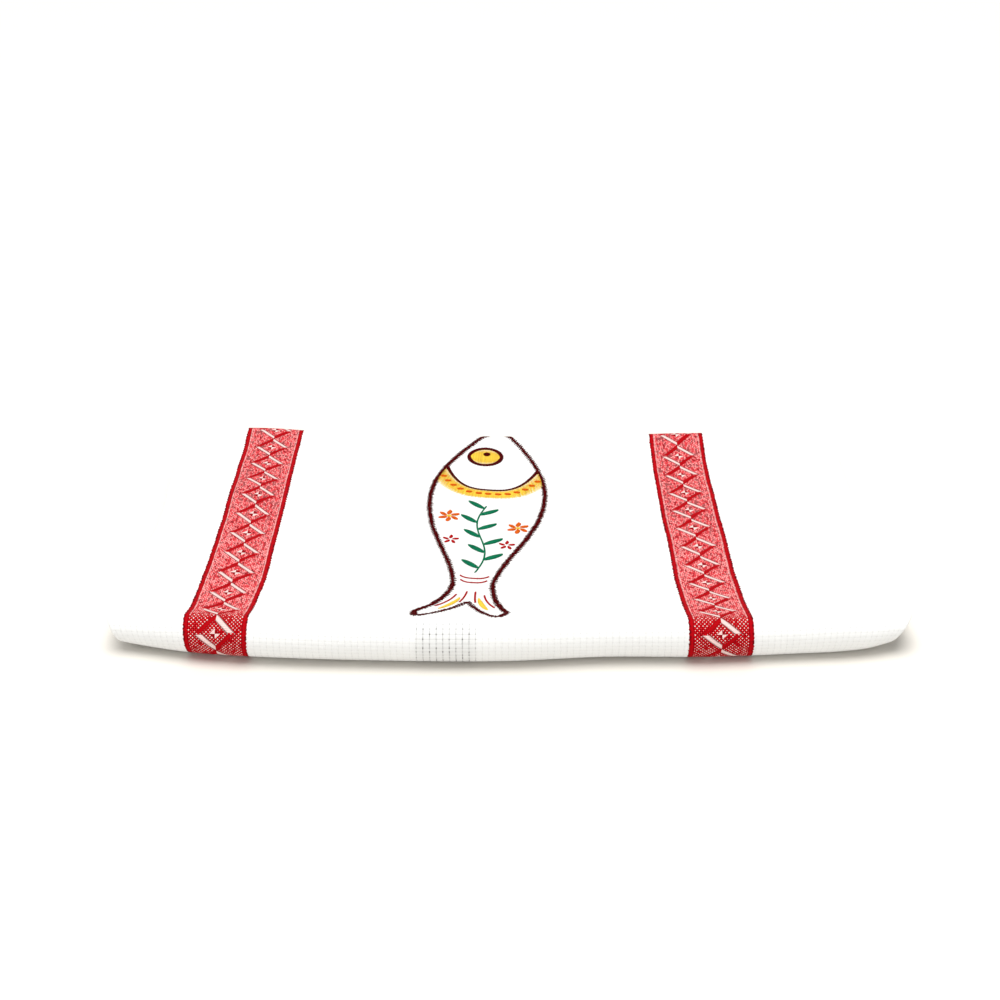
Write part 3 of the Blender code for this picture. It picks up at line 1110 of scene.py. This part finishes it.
# The edge of a band, counted inwards from it: the plain red strip, its dark rim of painted shade,
# a fine dark line and the pale line beside the strip. Its floats lie a small pitch apart.
EDGE = (-0.12, 0.12)
STRIP = (2.8, 2.6)
RIM = (1.7, 0.6)
INNER_RIM_AT = 2.5
INNER_RIM = (0.5, 0.2)
PALE_LINE_AT = 3.3
PALE_LINE = (0.45, 0.2)
DASHES = (-0.08, 0.15)
FLOAT_PITCH = 0.58


def band(paint, beside, along, side, wider, closer, sizes, colours):
    """Colour and height of a woven band, and the share of each point that lies in it. The band
    is wider by a few threads where it lies slack, and its lozenges may follow closer on the
    front fold. On the back of the cloth the floats change colour, so they are mirrored there."""
    wave = (along * (2 * np.pi / (sizes.cell_along / MM))).sine()
    scallop = wave * 0.12 + paint.noise(beside, along, 1.8) * 0.5
    from_edge = wider / 2 + sizes.band_width / MM / 2 - abs(beside)
    from_frayed_edge = from_edge - scallop
    inside = from_frayed_edge.step_up(*EDGE)
    strip = from_edge.step_up(*STRIP)
    pale_line = abs(from_edge - PALE_LINE_AT).step_up(*PALE_LINE) * along.step_up(*BEHIND_FOLD)
    inner_rim = abs(from_edge - INNER_RIM_AT).step_up(*INNER_RIM)
    rim = from_frayed_edge.step_up(*RIM).most(inner_rim * 0.6)
    dashes = paint.noise(beside * 0.3 + 11, along * 0.6, 1.3).step_up(*DASHES)

    ground, ground_height = band_ground(paint, beside, along, sizes, colours)
    shape = lozenges(beside * side, along + along.least(0) * closer, sizes)
    warp_lines = abs((beside * (np.pi / FLOAT_PITCH)).sine())
    weft_lines = abs((along * (np.pi / FLOAT_PITCH)).sine())
    # The red floats are painted darker in the grooves between them, as painted shade.
    floats_red = (0.86 + warp_lines * 0.14).shade(colours.red)
    floats_red = (shape["wheel"] * 0.6).mix(floats_red, colours.deep_red_and_shade)
    floats_pale = (0.7 + weft_lines * 0.3).mix(colours.pink, colours.pale)

    colour = shape["red"].mix(ground, floats_red)
    colour = shape["pale"].mix(colour, floats_pale)
    # Painted shade along the sides of the lozenges.
    colour = (shape["outline"] * 0.8).mix(colour, colours.deep_red_and_shade)
    colour = (pale_line * 0.3).mix(colour, colours.pale)
    colour = strip.mix(colour, floats_red)
    # Painted shade in the dark rim along the band's outer edge, broken into dashes, with the fine
    # inner line.
    colour = (rim * (0.35 + dashes * 0.65)).mix(colour, colours.deep_red_and_shade)
    raised = (shape["pale"] + shape["red"]).least(1.0) * shape["crown"] * 0.16
    height = ground_height * (1 - strip) + raised + strip * warp_lines * 0.06
    return colour, height + shape["pale"] * weft_lines * 0.04, inside


def cloth_material(sizes, colours):
    """White canvas with its two woven bands, a little waver in its threads and fine fibres."""
    paint = Paint("woven_cotton")
    flat_across, flat_along = paint.flat_map()
    across = flat_across + paint.noise(flat_across, flat_along, 45) * 0.7
    along = flat_along + paint.noise(flat_along, flat_across, 60) * 0.8
    white, white_height = canvas(paint, across, along, sizes, colours)
    on_right = across > 0
    middle = on_right.choose(sizes.left_band / MM, sizes.right_band / MM)
    wider = on_right.choose(sizes.left_slack / MM, sizes.right_slack / MM)
    wider = wider * along.step_up(*WIDER_FROM_RIDGE)
    red, red_height, inside = band(
        paint, across - middle - wider / 2, along, paint.attribute(FACE_SIDE), wider,
        on_right * sizes.right_closer, sizes, colours,
    )
    fibres = paint.noise(flat_across, flat_along, 0.35, 2.0)
    height = inside.choose(white_height, red_height + 0.1) + fibres * 0.012
    return paint.finish(
        inside.mix(white, red), 0.88 - inside * 0.06, height,
        Sheen_Weight=0.01, Sheen_Roughness=0.5, Specular_IOR_Level=0.03,
    )


PLY_LENGTH = 0.9
PLY_WIDTH = 0.3


def thread_material(name, colour):
    """Glossy embroidery thread: two plies twisted together, each stitch a little lighter or
    darker than the next."""
    paint = Paint(name)
    along, around = paint.flat_map()
    ply = (along * (2 * np.pi / PLY_LENGTH) + around * (2 * np.pi / PLY_WIDTH)).sine()
    # The colour is painted a little darker in the grooves of the twist, as painted shade; the
    # stitch shade is a random tone for each stitch.
    shade = paint.attribute(STITCH_SHADE) * (0.94 + ply * 0.08)
    return paint.finish(shade.shade(colour), 0.5, ply * 0.03, Specular_IOR_Level=0.02)


def floor_material(colour):
    """Pale surface with a faint soft gloss and faint clouds."""
    paint = Paint("pale_surface")
    where = paint.node("ShaderNodeTexCoord").outputs["Object"]
    cloud = paint.term(paint.node("ShaderNodeTexNoise", inputs={0: where, "Scale": 3.0}), 0)
    shade = 0.995 + cloud * 0.01
    return paint.finish(shade.shade(colour), 0.42, 0.0, Specular_IOR_Level=0.4)


def length(label, what, default, low=0.0, high=100.0):
    """A length in millimetres that a user may change."""
    return FloatProperty(
        name=label, description=what, default=default * MM, min=low * MM, max=high * MM,
        precision=5, unit="LENGTH",
    )


def colour_setting(label, what, default):
    """A colour that a user may change."""
    return FloatVectorProperty(
        name=label, description=what, default=default, min=0, max=1, size=3, subtype="COLOR"
    )


class TowelSizes(bpy.types.PropertyGroup):
    """Sizes of the weave, the bands and the sewing."""

    cell_across: length("Bundle width", "Width of a bundle of warp threads", 3.58, 1, 8)
    cell_along: length("Bundle height", "Height of a bundle of weft threads", 2.72, 1, 8)
    threads_in_bundle: IntProperty(
        name="Threads in a bundle", description="How many threads lie side by side in a bundle",
        default=4, min=1, max=8,
    )
    left_band: length("Left band", "Its middle, across the cloth", -162.6, -225, 0)
    right_band: length("Right band", "Its middle, across the cloth", 116.25, 0, 225)
    band_width: length("Band width", "Width of a woven band", 36.1, 5, 80)
    left_slack: length("Left band slack", "How much wider it lies behind the fold", 2.3, 0, 8)
    right_slack: length("Right band slack", "How much wider it lies behind the fold", 0.9, 0, 8)
    right_closer: FloatProperty(
        name="Right band closer", description="How much closer its lozenges are on the fold",
        default=0.24, min=0, max=1, subtype="FACTOR",
    )
    band_cell: length("Band cell", "Size of one crossing of threads in a band", 1.09, 0.5, 4)
    lozenge_pitch: length("Lozenge pitch", "Length of one lozenge along a band", 22.95, 5, 60)
    lozenge_width: length("Lozenge width", "Width of one lozenge across a band", 23.5, 5, 60)
    stitch_pitch: length("Stitch pitch", "Distance between two satin stitches", 0.5, 0.2, 2)
    thread_width: length("Thread width", "Thickness of the embroidery thread", 0.56, 0.2, 2)
    hem_stitch: length("Hem stitch", "Length of one stitch along a hem", 3.0, 1, 8)
    hem_seam: length("Hem seam", "How far a hem's seam lies from its edge", 11, 2, 30)


class TowelColours(bpy.types.PropertyGroup):
    """Colours of the cloth, the threads and the surface below."""

    cotton: colour_setting("Cotton", "White cotton of the canvas", (0.72, 0.72, 0.708))
    red: colour_setting("Red", "Red warp of the bands", (0.40, 0.001, 0.004))
    # Deep red: the darker red of the wheels, and painted shade in the gaps of the ground, beside
    # the lozenges' sides and along the bands' edges.
    deep_red_and_shade: colour_setting("Deep red", "Shade between the red threads", (0.12, 0.001, 0.004))
    pink: colour_setting("Pink", "Red seen between pale threads", (0.60, 0.26, 0.29))
    pale: colour_setting("Pale", "Weft where it lies on top in a band", (0.76, 0.58, 0.54))
    outline: colour_setting("Outline", "Thread of the fish's outline", (0.068, 0.0005, 0.001))
    yellow: colour_setting("Yellow", "Thread of the stripe and the eye", (0.84, 0.56, 0.06))
    orange: colour_setting("Orange", "Thread of the dots and flowers", (0.64, 0.11, 0.006))
    green: colour_setting("Green", "Thread of the stem and leaves", (0.003, 0.150, 0.068))
    scarlet: colour_setting("Scarlet", "Thread of the buds and tail lines", (0.40, 0.006, 0.006))
    surface: colour_setting("Surface", "Surface that the towel lies on", (0.72, 0.69, 0.635))


def settings():
    """The sizes and the colours kept in the scene."""
    return bpy.context.scene.towel_sizes, bpy.context.scene.towel_colours


def on_fish(drawn, sizes, rise=SATIN_RISE):
    """Threads over the cloth for several sets of stitches drawn in the fish's plane."""
    return [
        lay_threads(on_towel(starts), on_towel(ends), sizes.thread_width, rise, STITCH_SINK)
        for starts, ends in drawn
    ]


def sew(name, batches, thread, colour):
    """Makes one piece of sewing from its batches of threads, all of one colour."""
    *mesh, shades = join_threads(batches)
    mesh_piece(name, *mesh, {STITCH_SHADE: shades}, thread_material(thread, colour))
    return {"FINISHED"}


class TEATOWEL_OT_cloth(bpy.types.Operator):
    """Make the folded cloth with its weave and bands"""

    bl_idname = "teatowel.cloth"
    bl_label = "Folded Cloth"

    def execute(self, context):
        make_cloth(cloth_material(*settings()))
        return {"FINISHED"}


class TEATOWEL_OT_hem_seams(bpy.types.Operator):
    """Sew the seam of each hem, on both faces of the cloth"""

    bl_idname = "teatowel.hem_seams"
    bl_label = "Hem Seams"

    def execute(self, context):
        sizes, colours = settings()
        reach = CLOTH_WIDTH / 2 - SEAM_FROM_SELVEDGE
        row = np.stack([np.linspace(-reach, reach, 200), np.zeros(200)], axis=1)
        stitch = sizes.hem_stitch * SEAM_STITCH_SHARE
        starts, ends = running(row, stitch, sizes.hem_stitch * (1 - SEAM_STITCH_SHARE))

        def at_under_hem(across, along):
            marks = landmarks(station_sizes(across))
            return sizes.hem_seam / (marks["under_hem"] - marks["ridge"]) + 0 * along

        def at_inner_hem(across, along):
            marks = landmarks(station_sizes(across))
            return LEG_COUNT - sizes.hem_seam / (marks["crest"] - marks["inner_hem"]) + 0 * along

        batches = [
            lay_threads(starts, ends, SEAM_THREAD, SEAM_RISE, SEAM_SINK, side, place_at)
            for place_at in (at_under_hem, at_inner_hem)
            for side in (OUTER_FACE, INNER_FACE)
        ]
        return sew("hem_seams", batches, "white_thread", colours.cotton)


class TEATOWEL_OT_fish_outline(bpy.types.Operator):
    """Embroider the outline, the gill and the eye in dark red satin stitch"""

    bl_idname = "teatowel.fish_outline"
    bl_label = "Fish Outline"

    def execute(self, context):
        sizes, colours = settings()
        pitch = sizes.stitch_pitch
        drawn = [
            satin(fish_side(hand), OUTLINE_WIDTH, pitch, thinner_behind, OUTLINE_RAGGED)
            for hand in (1, -1)
        ]
        gill = bow_behind_gill(0, GILL_SAG)
        drawn.append(satin(gill, GILL_WIDTH, pitch, fuller_at_ends, GILL_RAGGED))
        drawn.append(satin(ring(EYE_CENTRE, EYE_RADIUS), EYE_RIM, pitch, None, RIM_RAGGED))
        pupil = spot(PUPIL_CENTRE, PUPIL_WIDTH, PUPIL_LENGTH, pitch)
        batches = on_fish(drawn, sizes) + on_fish([pupil], sizes, PUPIL_RISE)
        return sew("fish_outline", batches, "dark_thread", colours.outline)


class TEATOWEL_OT_fish_yellow(bpy.types.Operator):
    """Embroider the eye, the stripe and other yellow places in satin stitch"""

    bl_idname = "teatowel.fish_yellow"
    bl_label = "Yellow Embroidery"

    def execute(self, context):
        sizes, colours = settings()
        pitch = sizes.stitch_pitch
        eye_width = 2 * EYE_RADIUS - EYE_RIM / 2
        low = [spot(EYE_CENTRE, eye_width, eye_width, pitch), stripe(pitch)]
        lobes = [tail_line(TAIL_LEAF, hand) for hand in (1, -1)]
        drawn = [satin(line, TAIL_LEAF_WIDTH, pitch, petal) for line in lobes]
        for flower in flowers(BLOSSOMS):
            heart = HEART_SHARE * flower["length"]
            drawn.append(spot((flower["along"], flower["side"]), heart, heart, pitch))
        batches = on_fish(low, sizes, LOW_RISE) + on_fish(drawn, sizes)
        return sew("fish_yellow", batches, "yellow_thread", colours.yellow)


class TEATOWEL_OT_fish_orange(bpy.types.Operator):
    """Embroider the dots of the stripe and the petals of the flowers in orange"""

    bl_idname = "teatowel.fish_orange"
    bl_label = "Orange Embroidery"

    def execute(self, context):
        sizes, colours = settings()
        pitch = sizes.stitch_pitch
        dots, _, _ = evenly_along(sum(stripe(pitch)) / 2, DOT_PITCH)
        drawn = [spot(dot, DOT_WIDTH, DOT_LENGTH, pitch) for dot in dots]
        batches = on_fish(drawn, sizes, DOT_RISE) + on_fish(petals_of(BLOSSOMS, pitch), sizes)
        return sew("fish_orange", batches, "orange_thread", colours.orange)


class TEATOWEL_OT_fish_green(bpy.types.Operator):
    """Embroider the stem and its leaves in green"""

    bl_idname = "teatowel.fish_green"
    bl_label = "Green Embroidery"

    def execute(self, context):
        sizes, colours = settings()
        stem = satin(stem_line(), STEM_WIDTH, sizes.stitch_pitch, lean=STEM_LEAN)
        batches = on_fish([stem, *leaves(sizes.stitch_pitch)], sizes)
        return sew("fish_green", batches, "green_thread", colours.green)


class TEATOWEL_OT_fish_scarlet(bpy.types.Operator):
    """Embroider the buds and the lines of the tail in scarlet"""

    bl_idname = "teatowel.fish_scarlet"
    bl_label = "Scarlet Embroidery"

    def execute(self, context):
        sizes, colours = settings()
        pitch = sizes.stitch_pitch
        lines = [tail_line(row, hand) for row in TAIL_RAYS for hand in (1, -1)]
        for centre in WAIST_LINES:
            reach = body_half_width(np.array(centre)) - WAIST_LINE_INSET
            lines.append(arc_across(centre, WAIST_LINE_SAG, reach))
        drawn = [*petals_of(BUDS, pitch), *(satin(line, FINE_LINE, pitch) for line in lines)]
        return sew("fish_scarlet", on_fish(drawn, sizes), "scarlet_thread", colours.scarlet)


class TEATOWEL_OT_stage(bpy.types.Operator):
    """Set the pale surface, the soft studio light and the camera"""

    bl_idname = "teatowel.stage"
    bl_label = "Stage"

    def execute(self, context):
        _, colours = settings()
        make_floor(floor_material(colours.surface))
        make_lights()
        make_camera()
        context.scene.view_settings.view_transform = "Standard"
        return {"FINISHED"}


# name, strength in watts per square metre, spread and tilt in degrees
LAMPS = (
    ("overhead", 3.25, 50, (-6, -3, 0)),
    ("front_fill", 1.12, 24, (80, 0, 0)),
)
# The white all round: the light that it casts, and how bright it looks beyond the floor's edge.
WHITE_CAST = 0.6
WHITE_SEEN = 1.0
FLOOR_HALF_SIZE = 6.0
FLOOR_DROP = 0.05 * MM


def make_floor(material):
    """A wide flat surface just under the towel."""
    corners = [(-1, -1), (1, -1), (1, 1), (-1, 1)]
    points = [(x * FLOOR_HALF_SIZE, y * FLOOR_HALF_SIZE, -FLOOR_DROP) for x, y in corners]
    mesh = bpy.data.meshes.new("floor")
    mesh.from_pydata(points, [], [(0, 1, 2, 3)])
    mesh.materials.append(material)
    in_scene("floor", mesh)


def make_lights():
    """White light from all round, a wide soft lamp above and a weaker one low in front."""
    world = bpy.data.worlds.new("studio")
    world.use_nodes = True
    tree = world.node_tree
    background = tree.nodes["Background"]
    background.inputs["Color"].default_value = (1, 1, 1, 1)
    strength = tree.nodes.new("ShaderNodeMath")
    strength.operation = "MULTIPLY_ADD"
    strength.inputs[1].default_value = WHITE_SEEN - WHITE_CAST
    strength.inputs[2].default_value = WHITE_CAST
    seen = tree.nodes.new("ShaderNodeLightPath").outputs["Is Camera Ray"]
    tree.links.new(seen, strength.inputs[0])
    tree.links.new(strength.outputs[0], background.inputs["Strength"])
    bpy.context.scene.world = world
    for name, strength, spread, tilt in LAMPS:
        lamp = bpy.data.lights.new(name, "SUN")
        lamp.energy = strength
        lamp.angle = np.radians(spread)
        in_scene(name, lamp).rotation_euler = Euler(np.radians(tilt))


def make_camera():
    """The camera where the photograph was taken from."""
    view = bpy.data.cameras.new("photo_view")
    view.lens = LENS
    view.sensor_width = SENSOR
    view.clip_start = 0.02
    view.clip_end = 50
    camera = in_scene("photo_view", view)
    camera.location = (CAMERA_ACROSS, -MIDDLE_Y - CAMERA_BEFORE_FOLD, CAMERA_HEIGHT)
    camera.rotation_euler = Euler((np.pi / 2 - CAMERA_PITCH, 0, -CAMERA_YAW))
    bpy.context.scene.camera = camera


SEWING = (
    TEATOWEL_OT_hem_seams,
    TEATOWEL_OT_fish_outline,
    TEATOWEL_OT_fish_yellow,
    TEATOWEL_OT_fish_orange,
    TEATOWEL_OT_fish_green,
    TEATOWEL_OT_fish_scarlet,
)
PIECES = (TEATOWEL_OT_cloth, *SEWING, TEATOWEL_OT_stage)


class TEATOWEL_PT_panel(bpy.types.Panel):
    """The towel's pieces, sizes and colours in the sidebar"""

    bl_label = "Tea Towel"
    bl_idname = "TEATOWEL_PT_panel"
    bl_space_type = "VIEW_3D"
    bl_region_type = "UI"
    bl_category = "Tea Towel"

    def draw(self, context):
        for piece in PIECES:
            self.layout.operator(piece.bl_idname)
        for group in (context.scene.towel_sizes, context.scene.towel_colours):
            for name in group.__annotations__:
                self.layout.prop(group, name)


CLASSES = (TowelSizes, TowelColours, *PIECES, TEATOWEL_PT_panel)


def register():
    for one in CLASSES:
        bpy.utils.register_class(one)
    bpy.types.Scene.towel_sizes = PointerProperty(type=TowelSizes)
    bpy.types.Scene.towel_colours = PointerProperty(type=TowelColours)


def unregister():
    del bpy.types.Scene.towel_colours
    del bpy.types.Scene.towel_sizes
    for one in reversed(CLASSES):
        bpy.utils.unregister_class(one)


def own_name(piece):
    """The last word of an operator's name, which its piece of sewing has too."""
    return piece.bl_idname.split(".")[1]


def main():
    register()
    for piece in PIECES:
        getattr(bpy.ops.teatowel, own_name(piece))()


if __name__ == "__main__":
    main()
